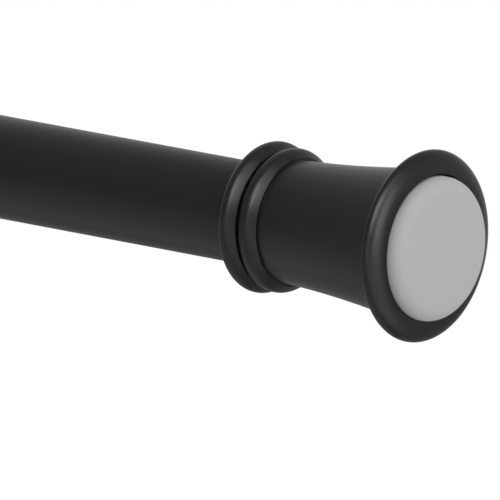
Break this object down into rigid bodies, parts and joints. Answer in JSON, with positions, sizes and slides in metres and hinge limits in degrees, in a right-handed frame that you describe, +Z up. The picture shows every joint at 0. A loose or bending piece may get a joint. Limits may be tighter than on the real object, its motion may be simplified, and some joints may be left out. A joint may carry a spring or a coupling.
{
  "type": "spring tension rod",
  "caption": "Telescoping spring tension rod for a curtain: a steel tube with a trumpet-shaped, beaded end cap and a soft pad at each end, and a twist lock and coil spring inside.",
  "frame": {"origin": "centre of the wall face of the outer tube's pad", "axes": "+X along the rod, out of the outer tube's wall face; +Z up with the rod level; +Y follows by the right hand"},
  "size_m": [0.4318, 0.0478, 0.0478],
  "materials": {
    "tube_paint": "satin black paint",
    "cap_plastic": "satin black moulding",
    "pad_rubber": "soft matt grey",
    "lock_plastic": "natural nylon",
    "ring_rubber": "black",
    "steel": "zinc plated"
  },
  "bodies": {
    "outer": {"outer_tube": "tube_paint", "outer_end_cap": "cap_plastic", "outer_pad": "pad_rubber", "mouth_bush": "cap_plastic"},
    "lock": {"collet": "lock_plastic", "drag_ring": "ring_rubber"},
    "cone": {"cone_nut": "lock_plastic"},
    "plunger": {"plunger": "steel", "stop_nut": "steel", "collet_clip": "steel", "thrust_washer": "steel", "thrust_collar": "steel", "collar_pin": "steel", "spring_washer": "steel", "spring": "steel"},
    "inner": {"inner_tube": "tube_paint", "guide_plug": "lock_plastic", "spring_seat": "lock_plastic", "reducing_sleeve": "cap_plastic", "inner_end_cap": "cap_plastic", "inner_pad": "pad_rubber"}
  },
  "joints": [
    {"name": "telescope", "type": "slide", "parent": "outer", "child": "lock", "axis": [-1, 0, 0], "range_m": [0, 0.2032]},
    {"name": "twist", "type": "hinge", "parent": "lock", "child": "plunger", "pos_m": [-0.0806, 0, 0], "axis": [1, 0, 0], "range_deg": [0, 540]},
    {"name": "cone_draw", "type": "slide", "parent": "lock", "child": "cone", "axis": [-1, 0, 0], "range_m": [0, 0.003]},
    {"name": "spring_slide", "type": "slide", "parent": "plunger", "child": "inner", "axis": [1, 0, 0], "range_m": [0, 0.0254], "stiffness_N_per_m": 2900, "springref_m": -0.01, "deforming": ["spring"]}
  ],
  "couplings": [
    {"joint": "cone_draw", "follows": "twist", "m_per_rad": 0.00031831}
  ]
}
